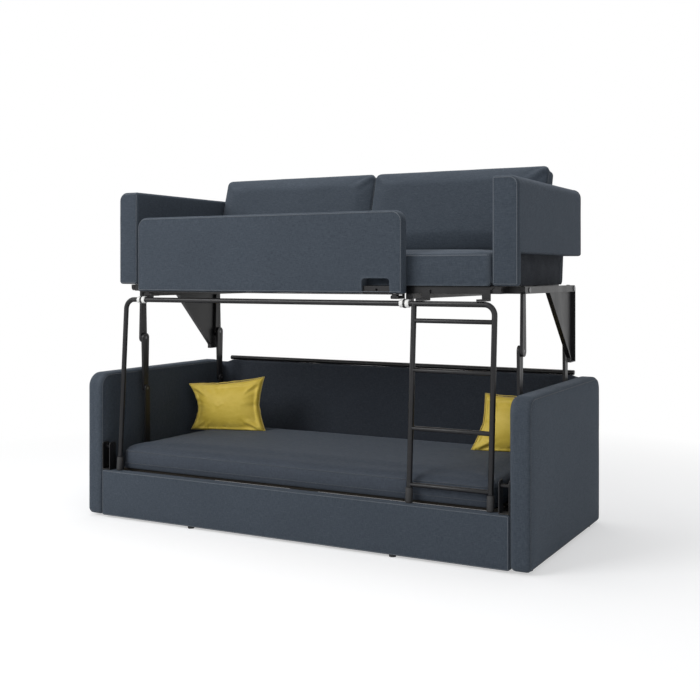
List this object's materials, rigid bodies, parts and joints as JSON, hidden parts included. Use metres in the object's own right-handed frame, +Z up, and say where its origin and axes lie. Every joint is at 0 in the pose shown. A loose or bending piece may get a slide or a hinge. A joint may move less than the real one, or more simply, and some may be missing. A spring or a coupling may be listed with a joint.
{
  "type": "sofa bed",
  "caption": "Upholstered sofa whose seat, arms and back rise on folding steel legs into an upper bunk over a lower bed, with ladder and guard.",
  "frame": {"origin": "on the floor, under the middle of the object's bounding box", "axes": "+X to the sitter's left-hand side seen from the front as right, +Y to the back, +Z up"},
  "size_m": [2.1, 0.99, 1.5791],
  "materials": {
    "upholstery": "woven, matt",
    "pillow_cloth": "smooth cloth",
    "wood": "raw birch",
    "nylon": "white nylon",
    "rubber": "black rubber",
    "zinc": "dark zinc",
    "black_steel": "black powder coat, satin"
  },
  "bodies": {
    "base": {"left_lower_arm": "upholstery", "right_lower_arm": "upholstery", "front_rail": "upholstery", "lower_back_panel": "upholstery", "back_tube": "black_steel", "base_frame": "black_steel", "base_slats": "wood", "feet": "rubber", "lower_mattress": "upholstery", "left_pillow": "pillow_cloth", "right_pillow": "pillow_cloth", "left_base_posts": "black_steel", "right_base_posts": "black_steel", "base_pivot_pins": "zinc", "end_brackets": "black_steel", "end_bracket_bolts": "zinc"},
    "deck": {"left_side_bracket": "black_steel", "right_side_bracket": "black_steel", "gusset_webs": "black_steel", "deck_pivot_pins": "zinc", "deck_frame": "black_steel", "deck_slats": "wood", "seat_base": "upholstery", "seat_cushion": "upholstery", "left_upper_arm": "upholstery", "right_upper_arm": "upholstery", "back_board": "upholstery", "left_back_cushion": "upholstery", "right_back_cushion": "upholstery", "front_strip": "black_steel", "catch_plates": "black_steel", "runners": "black_steel", "hinge_ears": "black_steel", "hinge_pins": "zinc"},
    "hanger_slide": {"hangers": "black_steel"},
    "ladder_frame": {"frame_tube": "black_steel", "inner_stringer": "black_steel", "rungs": "black_steel", "bushes": "nylon", "foot_shoes": "rubber"},
    "guard": {"guard_panel": "upholstery", "guard_strip": "black_steel", "handhole_plate": "black_steel", "guard_lugs": "black_steel"},
    "front_left_lower_leg": {"front_left_lower_link": "black_steel", "front_left_knee_pin": "zinc"},
    "front_left_upper_leg": {"front_left_upper_link": "black_steel"},
    "front_right_lower_leg": {"front_right_lower_link": "black_steel", "front_right_knee_pin": "zinc"},
    "front_right_upper_leg": {"front_right_upper_link": "black_steel"},
    "rear_left_lower_leg": {"rear_left_lower_link": "black_steel", "rear_left_knee_pin": "zinc"},
    "rear_left_upper_leg": {"rear_left_upper_link": "black_steel"},
    "rear_right_lower_leg": {"rear_right_lower_link": "black_steel", "rear_right_knee_pin": "zinc"},
    "rear_right_upper_leg": {"rear_right_upper_link": "black_steel"}
  },
  "joints": [
    {"name": "lift", "type": "hinge", "parent": "base", "child": "front_left_lower_leg", "pos_m": [-0.92325, -0.241, 0.5625], "axis": [-1, 0, 0], "range_deg": [0, 105], "deforming": ["left_pillow", "right_pillow"]},
    {"name": "front_left_knee", "type": "hinge", "parent": "front_left_lower_leg", "child": "front_left_upper_leg", "pos_m": [-0.92325, -0.241, 0.8], "axis": [1, 0, 0], "range_deg": [0, 210]},
    {"name": "front_right_base_pivot", "type": "hinge", "parent": "base", "child": "front_right_lower_leg", "pos_m": [0.92325, -0.241, 0.5625], "axis": [-1, 0, 0], "range_deg": [0, 105]},
    {"name": "front_right_knee", "type": "hinge", "parent": "front_right_lower_leg", "child": "front_right_upper_leg", "pos_m": [0.92325, -0.241, 0.8], "axis": [1, 0, 0], "range_deg": [0, 210]},
    {"name": "rear_left_base_pivot", "type": "hinge", "parent": "base", "child": "rear_left_lower_leg", "pos_m": [-0.92325, 0.36, 0.5625], "axis": [1, 0, 0], "range_deg": [0, 105]},
    {"name": "rear_left_knee", "type": "hinge", "parent": "rear_left_lower_leg", "child": "rear_left_upper_leg", "pos_m": [-0.92325, 0.36, 0.8], "axis": [-1, 0, 0], "range_deg": [0, 210]},
    {"name": "rear_right_base_pivot", "type": "hinge", "parent": "base", "child": "rear_right_lower_leg", "pos_m": [0.92325, 0.36, 0.5625], "axis": [1, 0, 0], "range_deg": [0, 105]},
    {"name": "rear_right_knee", "type": "hinge", "parent": "rear_right_lower_leg", "child": "rear_right_upper_leg", "pos_m": [0.92325, 0.36, 0.8], "axis": [-1, 0, 0], "range_deg": [0, 210]},
    {"name": "deck_pivot", "type": "hinge", "parent": "front_left_upper_leg", "child": "deck", "pos_m": [-0.93675, -0.241, 1.0375], "axis": [-1, 0, 0], "range_deg": [0, 105]},
    {"name": "frame_slide", "type": "slide", "parent": "deck", "child": "hanger_slide", "axis": [0, 1, 0], "range_m": [0, 0.72]},
    {"name": "frame_swing", "type": "hinge", "parent": "hanger_slide", "child": "ladder_frame", "pos_m": [0, -0.417, 0.984], "axis": [-1, 0, 0], "range_deg": [0, 86]},
    {"name": "guard_hinge", "type": "hinge", "parent": "deck", "child": "guard", "pos_m": [0, -0.419, 1.008], "axis": [1, 0, 0], "range_deg": [0, 90]}
  ],
  "couplings": [
    {"joint": "front_left_knee", "follows": "lift", "ratio": 2},
    {"joint": "front_right_base_pivot", "follows": "lift", "ratio": 1},
    {"joint": "front_right_knee", "follows": "lift", "ratio": 2},
    {"joint": "rear_left_base_pivot", "follows": "lift", "ratio": 1},
    {"joint": "rear_left_knee", "follows": "lift", "ratio": 2},
    {"joint": "rear_right_base_pivot", "follows": "lift", "ratio": 1},
    {"joint": "rear_right_knee", "follows": "lift", "ratio": 2},
    {"joint": "deck_pivot", "follows": "lift", "ratio": 1},
    {"joint": "frame_slide", "follows": "lift", "m_per_rad": 0.3928},
    {"joint": "frame_swing", "follows": "lift", "ratio": 0.819}
  ]
}
